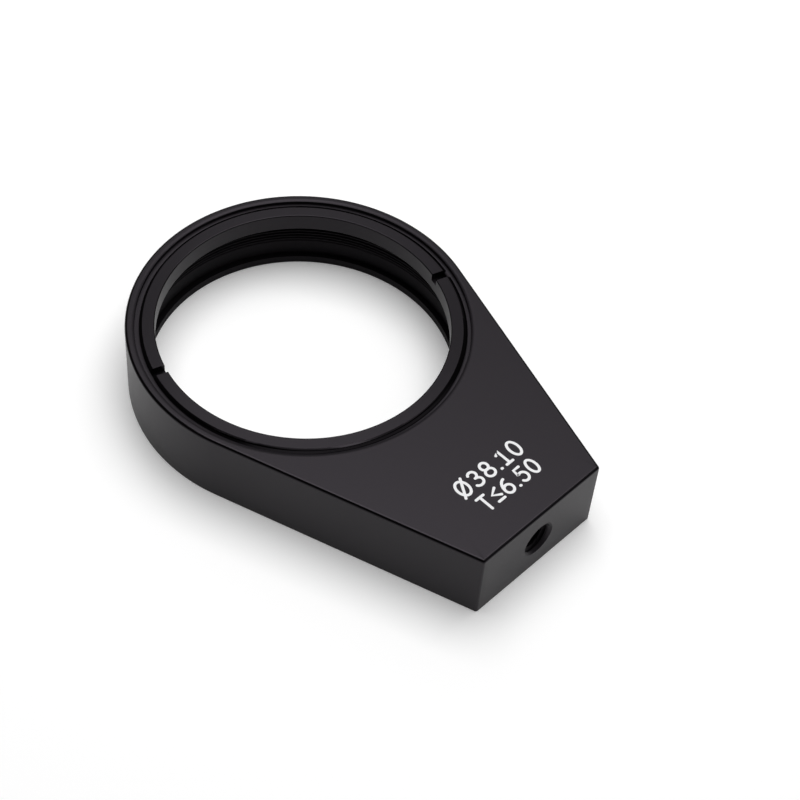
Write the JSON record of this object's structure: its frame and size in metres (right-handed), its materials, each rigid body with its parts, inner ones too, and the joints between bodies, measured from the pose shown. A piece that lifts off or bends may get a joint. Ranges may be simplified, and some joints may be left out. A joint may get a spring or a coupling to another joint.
{
  "type": "optical lens mount",
  "caption": "Fixed teardrop mount for a round lens: a black anodised plate with a threaded bore and seat, a slotted retaining ring, and a tapped post hole in its foot.",
  "frame": {"origin": "on the optical axis, at the plate's back face", "axes": "+Z along the optical axis, from the back face to the face where the retaining ring goes in; -Y towards the foot and its post hole"},
  "size_m": [0.042, 0.0593, 0.0098],
  "materials": {
    "plate_black": "bead-blasted, black anodised",
    "ring_black": "turned, black anodised",
    "marking_white": "laser-marked white"
  },
  "bodies": {
    "plate": {"mount_body": "plate_black"},
    "ring": {"retaining_ring": "ring_black"}
  },
  "joints": [
    {"name": "ring_travel", "type": "slide", "parent": "plate", "child": "ring", "axis": [0, 0, 1], "range_m": [-0.0045, 0.004]}
  ]
}
